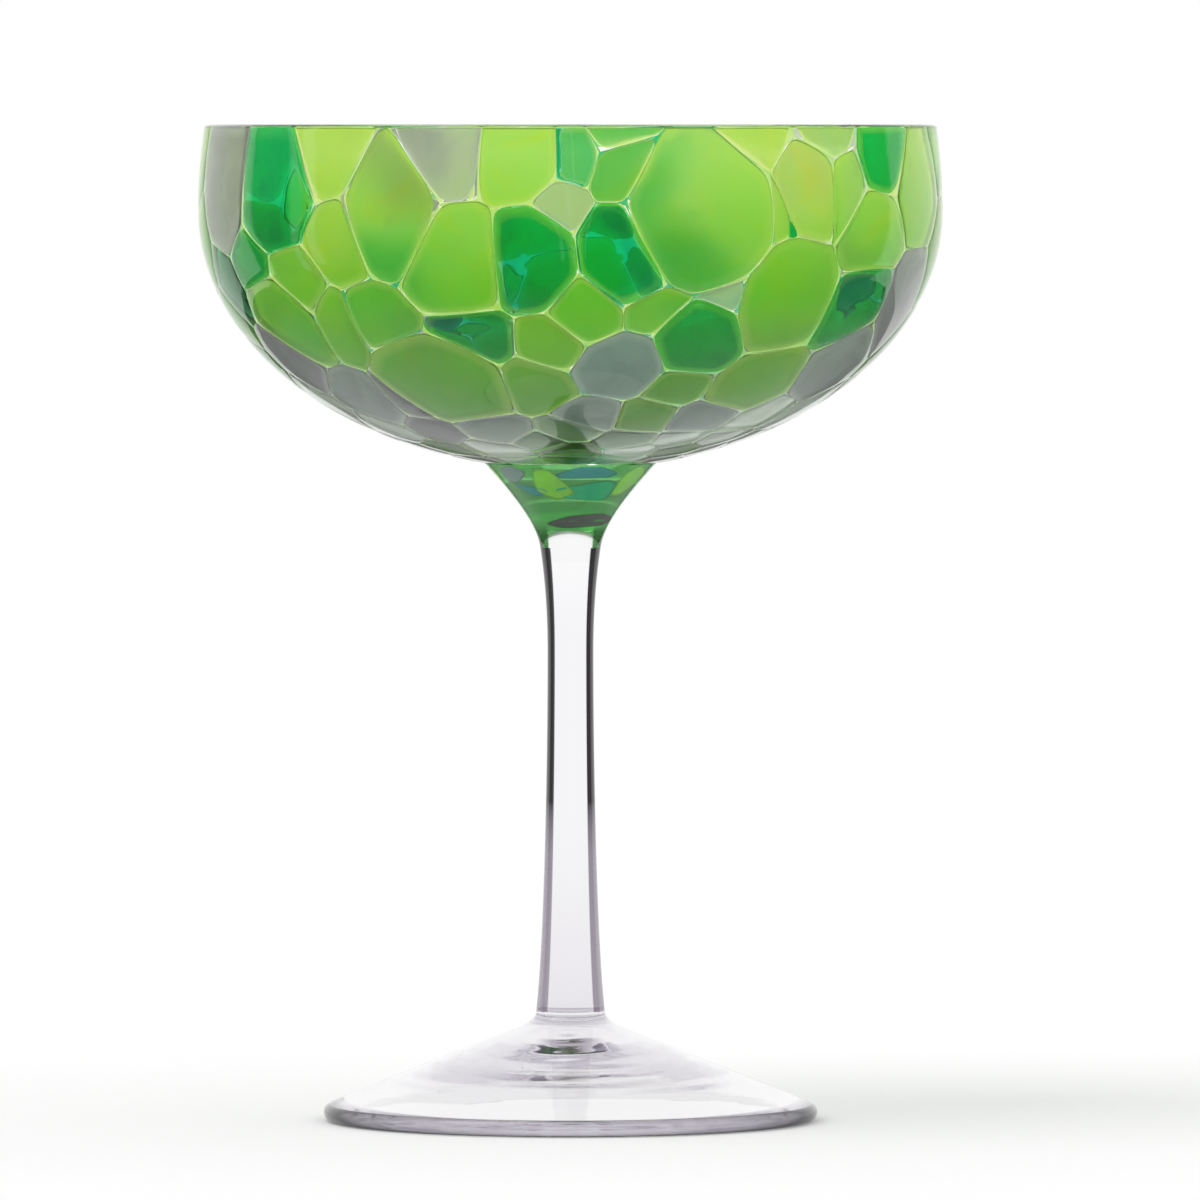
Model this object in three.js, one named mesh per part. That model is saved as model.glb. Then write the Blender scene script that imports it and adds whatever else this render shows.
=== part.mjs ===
// A champagne coupe in blown glass. A wide, shallow bowl of clear glass carries a mosaic of coloured
// glass chips on its outer face. It stands on a solid green neck, a drawn clear stem and a conical
// clear foot. Millimetres, +Z up, origin at the middle of the ring that the foot rests on.
import * as THREE from "three";

// Foot: a hollow cone with a rounded edge and a short boss that the stem is stuck to
const FOOT_RADIUS = 37.2;
const FOOT_EDGE_ROUND = 1.3;
const FOOT_REST_WIDTH = 2.4; // flat ring that touches the table
const FOOT_HOLLOW = 8.8; // rise of the underside at the axis
const FOOT_HOLLOW_TURN = 14; // radius where the underside turns level
const FOOT_HEIGHT = 16.5; // table to the top of the boss
const FOOT_BOSS_HEIGHT = 2.5;
const FOOT_FLARE_RADIUS = 8; // where the boss has run out into the cone

// Stem: drawn thin below the neck, with a domed top and an end that swells to the foot
const STEM_LENGTH = 69.8; // foot boss to the shoulder under the neck
const STEM_END_RADIUS = 5.15;
const STEM_WAIST_RADIUS = 3.46;
const STEM_WAIST_DROP = 15.8; // shoulder to waist
const STEM_TOP_RADIUS = 4.55;
const STEM_DOME_RISE = 2.6;
const STEM_SHOULDER_WIDTH = 0.6; // flat ring round the dome

// Neck: the solid cone of green glass between the stem and the bowl
const NECK_HEIGHT = 12.7;
const NECK_TOP_RADIUS = 12.9;
const NECK_LOWER_PULL = [0.55, 3.7]; // out and up from the foot of the flare
const NECK_UPPER_PULL = [4.3, 4.75]; // in and down from the top of the flare

// Bowl: half an ellipse below its widest place and a slower one above it
const BOWL_RADIUS = 56;
const BOWL_DEPTH = 39; // widest place to the lowest point of the outline
const BOWL_RIM_INSET = 1; // the rim is drawn in from the widest place by this much
const BOWL_RIM_RISE = 13; // widest place to the rim
const BOWL_WALL = 2.4; // clear glass and chips together
const LINING_WALL = 1.4; // the clear glass behind the chips

// Chips: thin, slightly domed patches, cut off level below the rim
const CHIP_DOME = 0.3; // rise from the edge at the seam to the middle, which is flush with the bowl
const CHIP_SEAM = 0.55; // clear glass between two chips
const CHIP_CORNER = 0.18; // share of each edge that is cut off at a corner
const BED_END_RADIUS = 32; // radius of the bowl where the bed of the chips ends
const SEAT_GAP = 0.28; // between a chip and its bed
const SOCKET_GAP = 0.05; // between the stem's dome and its socket

// Fineness of the facets
const BOWL_SEGMENTS = 54;
const SPINDLE_SEGMENTS = 36;
const CURVE_STEPS = 8;
const CHIP_LONGEST_EDGE = 0.12; // side of a chip on the chart
const CHART_STEPS = 400;

// The mosaic, in rows from the rim down, on a chart of the bowl in degrees: the azimuth from -Y towards
// +X, and a depth on the same scale. Each word is a chip: its glass, the width that it strives for, and
// its azimuth. A small letter is a chip that is no piece of its own here and only bounds its neighbours.
const MOSAIC = [
  [2, "l6@7 l9@29 l5@44"],
  [5, "l11@-41 P11@-19 l11@-8 t6@1 e11@57 l11@84 P14@131 G14@207 t11@241"],
  [7, "T14@96 E16@169 L19@257 l14@-88 l10@8.5"],
  [10, "G18@-69 E18@-52 L13@40 l11@47 L16@70 L22@114 L21@149 L22@189 L20@225"],
  [13, "L18@-29 L25@20.5 l7@32.5 e4@35.5 p7@-1"],
  [17, "L13@-39 L16@55 L14@-84"],
  [20, "L19@85 l10@132 l9@204 E15@243"],
  [21, "L17@-18 E16@-6"],
  [19.5, "E18@9.3"],
  [21, "e8@-60"],
  [24, "l12@-49 e11@-73 E18@101 E19@160 L20@261"],
  [27, "L21@138 E18@214 L20@231 G15@121"],
  [28, "L20@38 E17@55 G19@72 p7@26.5 l9@14 l12@2.6"],
  [31, "L20@179 L17@197 g12@247"],
  [32, "L17@-57 l10@-43.5 l11@-33 l12@-81"],
  [36, "l9@-4 E15@-17.5 E17@23.7 L18@88"],
  [42, "G15@9.7 G17@-64 G20@62 l14@-84 L21@111 G17@212 E17@245 L19@263"],
  [45, "G16@130 L22@150 L21@229 L19@192"],
  [48, "L29@-26 L16@-8 L21@41 l11@23 E19@171 l15@92"],
  [54, "G20@-53 g10@-40 p15@-75 l14@131 l13@208 g14@249"],
  [61, "g14@4 l15@20 g17@35 p17@55 p16@74 l19@110 g17@151 l18@187 p17@228 l17@268"],
  [68, "g16@-21 g13@-43 p16@-62 p14@0 g17@92 p18@131 p17@169 l17@207 l17@248"],
];

const GLASS = {
  clear: { color: 0xf4f6f7, roughness: 0.03 },
  green: { color: 0x4c9a45, roughness: 0.05 },
  L: { name: "lime_chip", color: 0x86c232, roughness: 0.06 },
  E: { name: "emerald_chip", color: 0x0f9c4e, roughness: 0.05 },
  G: { name: "grey_chip", color: 0x9da3a4, roughness: 0.2 },
  P: { name: "pale_chip", color: 0xc3cdbf, roughness: 0.12 },
  T: { name: "teal_chip", color: 0x3f9d7c, roughness: 0.08 },
};

// Heights that follow from the sizes above
const TURN = 2 * Math.PI;
const stemTop = FOOT_HEIGHT + STEM_LENGTH;
const neckTop = stemTop + NECK_HEIGHT;
const neckAngle = -Math.acos(NECK_TOP_RADIUS / BOWL_RADIUS);
const equator = neckTop - BOWL_DEPTH * Math.sin(neckAngle);
const rimAngle = Math.acos((BOWL_RADIUS - BOWL_RIM_INSET) / BOWL_RADIUS);
const upperDepth = BOWL_RIM_RISE / Math.sin(rimAngle);
const rimHeight = equator + BOWL_RIM_RISE;
const rimRound = LINING_WALL / 2;
const bedDepth = BOWL_WALL - LINING_WALL;
const chipEdge = bedDepth - CHIP_DOME;
const bedEndAngle = -Math.acos(BED_END_RADIUS / BOWL_RADIUS);
const chipTopAngle = Math.asin((BOWL_RIM_RISE - rimRound) / upperDepth);

const point = (x, y) => new THREE.Vector2(x, y);
const range = (count) => Array.from({ length: count + 1 }, (_, i) => i / count);

function material({ color, roughness }) {
  return new THREE.MeshStandardMaterial({ color, roughness, metalness: 0 });
}

function revolve(name, profile, segments, glass) {
  const geometry = new THREE.LatheGeometry(profile, segments).rotateX(Math.PI / 2);
  const mesh = new THREE.Mesh(geometry, material(glass));
  mesh.name = name;
  return mesh;
}

// A point of the bowl's outline at an eccentric angle, 0 at the widest place and negative below it,
// moved in along the normal by an inset.
function bowlAt(angle, inset = 0) {
  const depth = angle > 0 ? upperDepth : BOWL_DEPTH;
  const normal = point(Math.cos(angle) / BOWL_RADIUS, Math.sin(angle) / depth).normalize();
  const place = point(BOWL_RADIUS * Math.cos(angle), equator + depth * Math.sin(angle));
  return place.addScaledVector(normal, -inset);
}

function bowlSpan(from, to, steps, inset) {
  return range(steps).map((share) => bowlAt(from + (to - from) * share, inset));
}

function foot() {
  const edge = point(FOOT_RADIUS - FOOT_EDGE_ROUND, FOOT_EDGE_ROUND);
  const flare = point(FOOT_FLARE_RADIUS, FOOT_HEIGHT - FOOT_BOSS_HEIGHT);
  const toFlare = flare.clone().sub(edge);
  const tangentAngle = toFlare.angle() - Math.acos(FOOT_EDGE_ROUND / toFlare.length());
  const restInner = edge.x - FOOT_REST_WIDTH;
  const slope = 1 / Math.tan(tangentAngle);
  const corner = flare.y + (flare.x - STEM_END_RADIUS) * slope;
  const profile = new THREE.Path()
    .moveTo(0, FOOT_HOLLOW)
    .quadraticCurveTo(FOOT_HOLLOW_TURN, FOOT_HOLLOW, restInner, 0)
    .lineTo(edge.x, 0)
    .absarc(edge.x, edge.y, FOOT_EDGE_ROUND, -Math.PI / 2, tangentAngle, false)
    .lineTo(flare.x, flare.y)
    .quadraticCurveTo(STEM_END_RADIUS, corner, STEM_END_RADIUS, FOOT_HEIGHT)
    .lineTo(0, FOOT_HEIGHT);
  return revolve("foot", profile.getPoints(CURVE_STEPS / 2), BOWL_SEGMENTS, GLASS.clear);
}

// The dome on the stem, and the socket in the neck that it fills, from the shoulder to the axis.
function domeArc(gap) {
  const radius = STEM_TOP_RADIUS - STEM_SHOULDER_WIDTH + gap;
  return new THREE.EllipseCurve(0, stemTop, radius, STEM_DOME_RISE + gap, 0, Math.PI / 2);
}

function stem() {
  const waist = stemTop - STEM_WAIST_DROP;
  const lowerLength = waist - FOOT_HEIGHT;
  const topSlope = NECK_LOWER_PULL[0] / NECK_LOWER_PULL[1];
  const topPull = STEM_WAIST_DROP / 3;
  const profile = new THREE.Path()
    .moveTo(0, FOOT_HEIGHT)
    .lineTo(STEM_END_RADIUS, FOOT_HEIGHT)
    .bezierCurveTo(
      (STEM_END_RADIUS + 2 * STEM_WAIST_RADIUS) / 3,
      FOOT_HEIGHT + lowerLength / 5,
      STEM_WAIST_RADIUS,
      waist - lowerLength / 3,
      STEM_WAIST_RADIUS,
      waist,
    )
    .bezierCurveTo(
      STEM_WAIST_RADIUS,
      waist + topPull,
      STEM_TOP_RADIUS - topSlope * topPull,
      stemTop - topPull,
      STEM_TOP_RADIUS,
      stemTop,
    )
    .getPoints(CURVE_STEPS);
  const dome = domeArc(0).getPoints(CURVE_STEPS / 2);
  return revolve("stem", [...profile, ...dome], SPINDLE_SEGMENTS, GLASS.clear);
}

function neck() {
  const socket = domeArc(SOCKET_GAP).getPoints(CURVE_STEPS / 2).reverse();
  const flare = new THREE.Path()
    .moveTo(STEM_TOP_RADIUS, stemTop)
    .bezierCurveTo(
      STEM_TOP_RADIUS + NECK_LOWER_PULL[0],
      stemTop + NECK_LOWER_PULL[1],
      NECK_TOP_RADIUS - NECK_UPPER_PULL[0],
      neckTop - NECK_UPPER_PULL[1],
      NECK_TOP_RADIUS,
      neckTop,
    )
    .getPoints(CURVE_STEPS);
  return revolve("bowl_neck", [...socket, ...flare, point(0, neckTop)], SPINDLE_SEGMENTS, GLASS.green);
}

// The clear shell of the bowl: full thickness at its base, and set back above that as the bed that the
// chips lie in.
function lining() {
  const rim = bowlAt(rimAngle, bedDepth + rimRound);
  const rimArc = new THREE.EllipseCurve(rim.x, rimHeight - rimRound, rimRound, rimRound, 0, Math.PI);
  const profile = [
    point(0, neckTop),
    ...bowlSpan(neckAngle, bedEndAngle, 4, 0),
    ...bowlSpan(bedEndAngle, chipTopAngle, 12, bedDepth),
    ...rimArc.getPoints(4).slice(1, -1),
    ...bowlSpan(chipTopAngle, -Math.PI / 2, 14, BOWL_WALL),
  ];
  return revolve("bowl_lining", profile, BOWL_SEGMENTS, GLASS.clear);
}

// The chart of the bowl that the chips are laid out on: the angle round the axis, and the distance down
// the outline divided by the radius, so that shapes are true at every height.
function chartStations() {
  let depth = 0;
  let last = bowlAt(chipTopAngle);
  return range(CHART_STEPS).map((share) => {
    const angle = chipTopAngle + (neckAngle - chipTopAngle) * share;
    const place = bowlAt(angle);
    depth += (2 * place.distanceTo(last)) / (place.x + last.x);
    last = place;
    return { depth, angle };
  });
}

const stations = chartStations();

function angleAtDepth(depth) {
  const after = stations.findIndex((station) => station.depth >= depth);
  if (after < 0) return neckAngle;
  if (after === 0) return chipTopAngle;
  const [a, b] = [stations[after - 1], stations[after]];
  return THREE.MathUtils.mapLinear(depth, a.depth, b.depth, a.angle, b.angle);
}

// A place on the chart as a point of the bowl, at a height above the bed. Angle 0 faces -Y.
function onBowl({ x, y }, height) {
  const place = bowlAt(angleAtDepth(y), bedDepth - height);
  return new THREE.Vector3(place.x * Math.sin(x), -place.x * Math.cos(x), place.y);
}

// Every chip of the mosaic, with its middle and its half width on the chart.
function layOutChips() {
  const { degToRad } = THREE.MathUtils;
  return MOSAIC.flatMap(([depth, words]) =>
    words.split(" ").map((word) => {
      const [width, azimuth] = word.slice(1).split("@").map(Number);
      return { glass: word[0], x: degToRad(azimuth), y: degToRad(depth), half: degToRad(width) / 2 };
    }),
  );
}

// The part of a polygon where normal . p is at most limit.
function cut(polygon, normal, limit) {
  return polygon.flatMap((a, i) => {
    const b = polygon[(i + 1) % polygon.length];
    const [da, db] = [normal.dot(a) - limit, normal.dot(b) - limit];
    const kept = da <= 0 ? [a] : [];
    return da < 0 !== db < 0 ? [...kept, a.clone().lerp(b, da / (da - db))] : kept;
  });
}

// The chip's cell among its neighbours, each of which stops it at a line set back by half a seam.
function cellOf(chip, chips) {
  const radius = bowlAt(angleAtDepth(chip.y)).x;
  const setBack = CHIP_SEAM / 2 / radius;
  const reach = [point(-1, -1), point(-1, 1), point(1, 1), point(1, -1)];
  let cell = reach.map((corner) => corner.add(chip));
  for (const other of chips) {
    for (const turn of [-TURN, 0, TURN]) {
      const away = point(other.x + turn - chip.x, other.y - chip.y);
      const gap = away.length();
      if (gap === 0) continue;
      const middle = (gap ** 2 + chip.half ** 2 - other.half ** 2) / (2 * gap) - setBack;
      const normal = away.normalize();
      cell = cut(cell, normal, normal.dot(chip) + middle);
    }
  }
  return cell;
}

// The polygon with each corner replaced by a short edge.
function cutCorners(polygon) {
  return polygon.flatMap((a, i) => {
    const b = polygon[(i + 1) % polygon.length];
    return [a.clone().lerp(b, CHIP_CORNER), b.clone().lerp(a, CHIP_CORNER)];
  });
}

// The polygon with points added along its long edges, so that they can follow the bowl.
function splitLong(polygon) {
  return polygon.flatMap((a, i) => {
    const b = polygon[(i + 1) % polygon.length];
    const steps = Math.ceil(a.distanceTo(b) / CHIP_LONGEST_EDGE);
    return range(steps).slice(0, -1).map((share) => a.clone().lerp(b, share));
  });
}

// The chip's outline on the chart: its cell with cut corners, stopped level at the rim.
function chipOutline(chip, chips) {
  const belowRim = cut(cutCorners(cellOf(chip, chips)), point(0, -1), 0);
  return splitLong(belowRim);
}

// A closed skin over a pole, rings of equal count and a second pole.
function skin(firstPole, rings, lastPole) {
  const count = rings[0].length;
  const places = [firstPole, ...rings.flat(), lastPole];
  const at = (ring, i) => 1 + ring * count + (i % count);
  const triangles = [];
  for (let i = 0; i < count; i++) {
    triangles.push(0, at(0, i + 1), at(0, i));
    for (let ring = 1; ring < rings.length; ring++) {
      const [a, b] = [at(ring - 1, i), at(ring - 1, i + 1)];
      const [c, d] = [at(ring, i), at(ring, i + 1)];
      triangles.push(a, b, d, a, d, c);
    }
    triangles.push(places.length - 1, at(rings.length - 1, i), at(rings.length - 1, i + 1));
  }
  const geometry = new THREE.BufferGeometry().setFromPoints(places).setIndex(triangles);
  geometry.computeVertexNormals();
  return geometry;
}

// A chip as a solid: its underside follows the bed, and its top is a low dome flush with the outline.
function chipMesh(chip, chips, name) {
  const outline = chipOutline(chip, chips);
  const middle = outline.reduce((sum, p) => sum.add(p), point(0, 0)).divideScalar(outline.length);
  const ring = (share, height) => outline.map((p) => onBowl(middle.clone().lerp(p, share), height));
  const rings = [
    ring(0.55, SEAT_GAP),
    ring(1, SEAT_GAP),
    ring(1, chipEdge),
    ring(0.7, bedDepth),
  ];
  const geometry = skin(onBowl(middle, SEAT_GAP), rings, onBowl(middle, bedDepth));
  const mesh = new THREE.Mesh(geometry, material(GLASS[chip.glass]));
  mesh.name = name;
  return mesh;
}

function mosaic() {
  const chips = layOutChips();
  const group = new THREE.Group();
  for (const [letter, { name }] of Object.entries(GLASS)) {
    chips
      .filter((chip) => chip.glass === letter)
      .forEach((chip, i) => {
        const number = String(i + 1).padStart(2, "0");
        group.add(chipMesh(chip, chips, `${name}_${number}`));
      });
  }
  return group;
}

const coupe = new THREE.Group();
coupe.add(foot(), stem(), neck(), lining(), mosaic());

export default coupe;
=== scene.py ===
"""The looks of a champagne coupe in blown glass: a clear bowl with a mosaic of coloured chips under its
pebbled outer face, a green neck, a drawn clear stem and a hollow clear foot. Sizes are in millimetres
until a mesh is made, with +Z up and the foot's ring on the floor."""

import math

import bmesh
import bpy
import numpy as np
from mathutils import Matrix, Vector

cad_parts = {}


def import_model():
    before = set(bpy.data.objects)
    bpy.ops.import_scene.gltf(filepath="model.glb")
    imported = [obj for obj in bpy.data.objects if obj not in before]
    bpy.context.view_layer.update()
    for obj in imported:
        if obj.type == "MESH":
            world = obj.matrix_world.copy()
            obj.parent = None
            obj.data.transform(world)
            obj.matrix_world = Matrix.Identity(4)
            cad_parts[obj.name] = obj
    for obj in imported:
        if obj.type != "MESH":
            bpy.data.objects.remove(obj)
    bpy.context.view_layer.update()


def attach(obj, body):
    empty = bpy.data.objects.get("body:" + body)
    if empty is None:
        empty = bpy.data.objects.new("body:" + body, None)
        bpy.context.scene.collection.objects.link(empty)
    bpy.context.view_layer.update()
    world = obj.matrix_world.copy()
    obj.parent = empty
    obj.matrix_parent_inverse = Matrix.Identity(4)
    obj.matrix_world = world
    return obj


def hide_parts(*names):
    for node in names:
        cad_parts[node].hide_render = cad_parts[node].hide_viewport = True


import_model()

MM = 0.001
TURN = 2 * math.pi
TINY = 1e-6
SHARP_ANGLE = 50  # degrees between two faces that makes their edge look sharp

# Foot
FOOT_RADIUS = 37.2
FOOT_EDGE_ROUND = 1.3
FOOT_REST_WIDTH = 2.4
FOOT_HOLLOW = 8.8
FOOT_HOLLOW_TURN = 14
FOOT_HEIGHT = 16.5
FOOT_BOSS_HEIGHT = 2.5
FOOT_FLARE_RADIUS = 8
FOOT_WAVE = 0.06  # unevenness of the hand-turned underside
FOOT_SIDES = 180

# Stem
STEM_LENGTH = 69.8
STEM_END_RADIUS = 5.15
STEM_WAIST_RADIUS = 3.46
STEM_WAIST_DROP = 15.8
STEM_TOP_RADIUS = 4.55
STEM_DOME_RISE = 2.6
STEM_SHOULDER_WIDTH = 0.25
STEM_DOME_POWER = 0.4  # of the sine and cosine: the dome is flat in the middle and tight at the corner
STEM_SIDES = 96

# Neck
NECK_HEIGHT = 12.7
NECK_TOP_RADIUS = 12.9
NECK_LOWER_PULL = (0.55, 3.7)
NECK_UPPER_PULL = (4.3, 4.75)
NECK_PLUG = 1.4  # clear glass between the stem's dome and the green core
NECK_SKIN = 0.5  # clear glass over its coloured glass
NECK_SIDES = 120

# Bowl
BOWL_RADIUS = 56
BOWL_DEPTH = 39
BOWL_RIM_INSET = 1
BOWL_RIM_RISE = 13
BOWL_WALL = 2.4
RIM_ROUND = 0.45
LIP_STEPS = 10
INSIDE_STEPS = 36
JOINT_RINGS = (0.7, 0.35)  # shares of the neck's radius where the bowl's flat joint has points

# Chips and the pebbled face over them
CHIP_SEAMS = (0.02, 0.13)  # clear glass between two chips, at its narrowest and widest
CHIP_COVER = 0.45  # clear glass over a chip
CHIP_BEVEL = 0.15  # width of a chip's rounded edge
CHIP_FLOOR = 1.25  # depth of a chip's underside below the bowl's outline
CHIP_FLAT = 0.8  # share of a chip's outline up to which it is flat
CHIP_ROUNDING = (0.13, 0.25, 0.25)  # shares cut off a chip's sides at its corners, one time after another
CHIP_STEP = 1.2  # longest side of a facet along a chip's edge
CHIP_REACH = 1.6  # distance on the chart past which chips are no neighbours
SEAM_GROOVES = [(0.07, 0.22), (0.08, 1.3)]  # depth and half width of a seam's groove, and of its slopes
GROOVE_LIMIT = 1.25  # where grooves meet and add up, they are at most this many times as deep
SKIN_STEP = 1.1  # longest side of a facet along a seam
SKIN_RINGS = (0.11, 0.25, 0.45, 0.9, 1.6)  # distances from the seam where the skin has points
SKIN_INNER_RINGS = (0.4, 0.75)  # and shares of the way from the last of them to the middle
SKIN_DEEPEST = 0.75  # share of the way to the middle that those distances reach at most
SKIN_SMOOTHINGS = 4  # times that an inner ring is smoothed at most
SEAM_WAVES = [(9, 7, 0.3), (-6, 11, 1.7), (14, -6, 4.1)]  # waves round, down, and start
SEAM_WANDER = 0.005  # sideways wander of the seams on the chart, for each wave
SEAM_LEVEL = 0.12  # distance on the chart from its ends within which the wander fades out
SEAM_SCATTER = (700, 900)  # scatters the widths of the seams, by the gap and by the widths of two chips

# Bubbles in the bowl's wall
BUBBLES = 70
BUBBLE_RADII = (0.08, 0.5)
BUBBLE_DEPTH = 1.75
BUBBLE_REACH = 0.75  # share of the bowl's chart, from the rim down, that has bubbles
BUBBLE_STEPS = (0.754877, 0.569840)  # steps that spread the depths and the radii evenly

# Fused joints: two pieces of glass that meet are this far apart
FUSED_GAP = 0.02

# Studio
FLOOR_RADIUS = 340
FLOOR_BEHIND = 60  # distance of the floor's middle behind the glass
FLOOR_DROP = 0.05
FLOOR_SIDES = 96
FLOOR_FADE = (60, 240)  # distances from the floor's middle between which mirrored light turns dim
DIM_FRONT = [(-181, -92), (-84, -62), (62, 181)]  # degrees from +Y towards +X where mirrored light is dim
KEY_STRENGTH = 0.6
KEY_SPREAD = 40
KEY_DIRECTION = (0.5, 0.3, -1)  # the way that it shines
CAMERA_DISTANCE = 2100
CAMERA_SENSOR = 36
FRAME_WIDTH = 180.6  # of the photograph, at the glass
FRAME_MIDDLE = (4.44, 78.4)  # the place across and up that the photograph's middle shows
BOUNCES = 80

# Heights that follow
STEM_TOP = FOOT_HEIGHT + STEM_LENGTH
NECK_TOP = STEM_TOP + NECK_HEIGHT
NECK_ANGLE = -math.acos(NECK_TOP_RADIUS / BOWL_RADIUS)
EQUATOR = NECK_TOP - BOWL_DEPTH * math.sin(NECK_ANGLE)
RIM_ANGLE = math.acos((BOWL_RADIUS - BOWL_RIM_INSET) / BOWL_RADIUS)
UPPER_DEPTH = BOWL_RIM_RISE / math.sin(RIM_ANGLE)
RIM_HEIGHT = EQUATOR + BOWL_RIM_RISE
CHIP_TOP_ANGLE = math.asin((BOWL_RIM_RISE - RIM_ROUND) / UPPER_DEPTH)

# The mosaic in rows from the rim down, on a chart of the bowl in degrees: the azimuth from -Y towards +X,
# and a depth on the same scale. Each word is a chip: its glass, the width that it strives for, and its
# azimuth. A capital letter is a CAD node, and a small one is a chip that only the looks have.
MOSAIC = [
    (2, "l6@7 l9@29 l5@44"),
    (5, "l11@-41 P11@-19 l11@-8 t6@1 e11@57 l11@84 P14@131 G14@207 t11@241"),
    (7, "T14@96 E16@169 L19@257 l14@-88 l10@8.5"),
    (10, "G18@-69 E18@-52 L13@40 l11@47 L16@70 L22@114 L21@149 L22@189 L20@225"),
    (13, "L18@-29 L25@20.5 l7@32.5 e4@35.5 p7@-1"),
    (17, "L13@-39 L16@55 L14@-84"),
    (20, "L19@85 l10@132 l9@204 E15@243"),
    (21, "L17@-18 E16@-6"),
    (19.5, "E18@9.3"),
    (21, "e8@-60"),
    (24, "l12@-49 e11@-73 E18@101 E19@160 L20@261"),
    (27, "L21@138 E18@214 L20@231 G15@121"),
    (28, "L20@38 E17@55 G19@72 p7@26.5 l9@14 l12@2.6"),
    (31, "L20@179 L17@197 g12@247"),
    (32, "L17@-57 l10@-43.5 l11@-33 l12@-81"),
    (36, "l9@-4 E15@-17.5 E17@23.7 L18@88"),
    (42, "G15@9.7 G17@-64 G20@62 l14@-84 L21@111 G17@212 E17@245 L19@263"),
    (45, "G16@130 L22@150 L21@229 L19@192"),
    (48, "L29@-26 L16@-8 L21@41 l11@23 E19@171 l15@92"),
    (54, "G20@-53 g10@-40 w15@-75 l14@131 l13@208 g14@249"),
    (61, "g14@4 l15@20 g17@35 w17@55 w16@74 l19@110 g17@151 l18@187 p17@228 l17@268"),
    (68, "g16@-21 g13@-43 w16@-62 p14@0 g17@92 p18@131 p17@169 l17@207 l17@248"),
    (77, "p14@18 w15@36 w16@57 w17@77 l18@112 l18@150 p17@188 l18@228 p17@267 p12@-10"),
    (90, "w19@-30 l18@-54 w19@-78 l16@2 w18@25 l19@48 w19@71 l19@97 p19@121 l19@146 p19@168 l19@190"),
    (90, "p19@213 l19@236 p19@258"),
    (109, "l24@-60 w24@-30 l22@0 w24@30 l24@60 p24@90 l24@120 p24@150 l24@180 p24@210 l24@240 p24@270"),
]
OPAL = "LGPW"  # the cloudy kinds of glass
GLASS_NAMES = {
    "L": "lime",
    "E": "emerald",
    "G": "grey",
    "P": "pale",
    "W": "white",
    "T": "teal",
    "V": "violet",
}


# Nodes and materials


WHITE = (1, 1, 1)
BLACK = (0, 0, 0)
GLASS_IOR = 1.5
OPAL_IOR = 1.1  # of cloudy chips, against the clear glass round them
MATCHED_IOR = 1.0  # of glass in glass of the same kind
OPAL_ROUGHNESS = 0.45


def new_material(name):
    """A material with its nodes, its links and its Principled shader."""
    material = bpy.data.materials.new(name)
    material.use_nodes = True
    nodes = material.node_tree.nodes
    shader = next(node for node in nodes if node.type == "BSDF_PRINCIPLED")
    return material, nodes, material.node_tree.links, shader


def output_of(nodes):
    return next(node for node in nodes if node.type == "OUTPUT_MATERIAL")


def plug(links, value, socket):
    """Links a value that is another node's socket, or sets a plain number or colour."""
    if isinstance(value, bpy.types.NodeSocket):
        links.new(value, socket)
    elif isinstance(value, tuple):
        socket.default_value = (*value, 1)
    else:
        socket.default_value = value


def ramp(nodes, links, value, stops):
    """A colour ramp along a value, with (place, colour) stops."""
    node = nodes.new("ShaderNodeValToRGB")
    for place, _ in stops[2:]:
        node.color_ramp.elements.new(place)
    for element, (place, colour) in zip(node.color_ramp.elements, stops):
        element.position = place
        element.color = (*colour, 1)
    links.new(value, node.inputs["Fac"])
    return node.outputs["Color"]


def map_range(nodes, links, value, low, high):
    """A value that is 0 at low and 1 at high."""
    node = nodes.new("ShaderNodeMapRange")
    node.inputs["From Min"].default_value = low
    node.inputs["From Max"].default_value = high
    links.new(value, node.inputs["Value"])
    return node.outputs["Result"]


def calculate(nodes, links, operation, first, second):
    node = nodes.new("ShaderNodeMath")
    node.operation = operation
    plug(links, first, node.inputs[0])
    plug(links, second, node.inputs[1])
    return node.outputs["Value"]


def mix_colours(nodes, links, share, first, second, blend="MIX"):
    node = nodes.new("ShaderNodeMix")
    node.data_type = "RGBA"
    node.blend_type = blend
    links.new(share, node.inputs["Factor"])
    plug(links, first, node.inputs["A"])
    plug(links, second, node.inputs["B"])
    return node.outputs["Result"]


def height_tint(nodes, links, stops):
    """A tint that changes with height. Stops are heights in millimetres and tints."""
    low, high = stops[0][0], stops[-1][0]
    place = nodes.new("ShaderNodeTexCoord")
    axes = nodes.new("ShaderNodeSeparateXYZ")
    links.new(place.outputs["Object"], axes.inputs["Vector"])
    share = map_range(nodes, links, axes.outputs["Z"], low * MM, high * MM)
    return ramp(nodes, links, share, [((height - low) / (high - low), tint) for height, tint in stops])


def set_glass(shader, transmission, ior, roughness):
    shader.inputs["Transmission Weight"].default_value = transmission
    shader.inputs["IOR"].default_value = ior
    shader.inputs["Roughness"].default_value = roughness


def clear_glass(name, ior):
    material, _, _, shader = new_material(name)
    shader.inputs["Base Color"].default_value = (*WHITE, 1)
    set_glass(shader, 1, ior, 0)
    return material


def layered_glass(name, stops):
    """Clear glass with a tint that changes with height."""
    material, nodes, links, shader = new_material(name)
    links.new(height_tint(nodes, links, stops), shader.inputs["Base Color"])
    set_glass(shader, 1, GLASS_IOR, 0)
    return material


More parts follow.
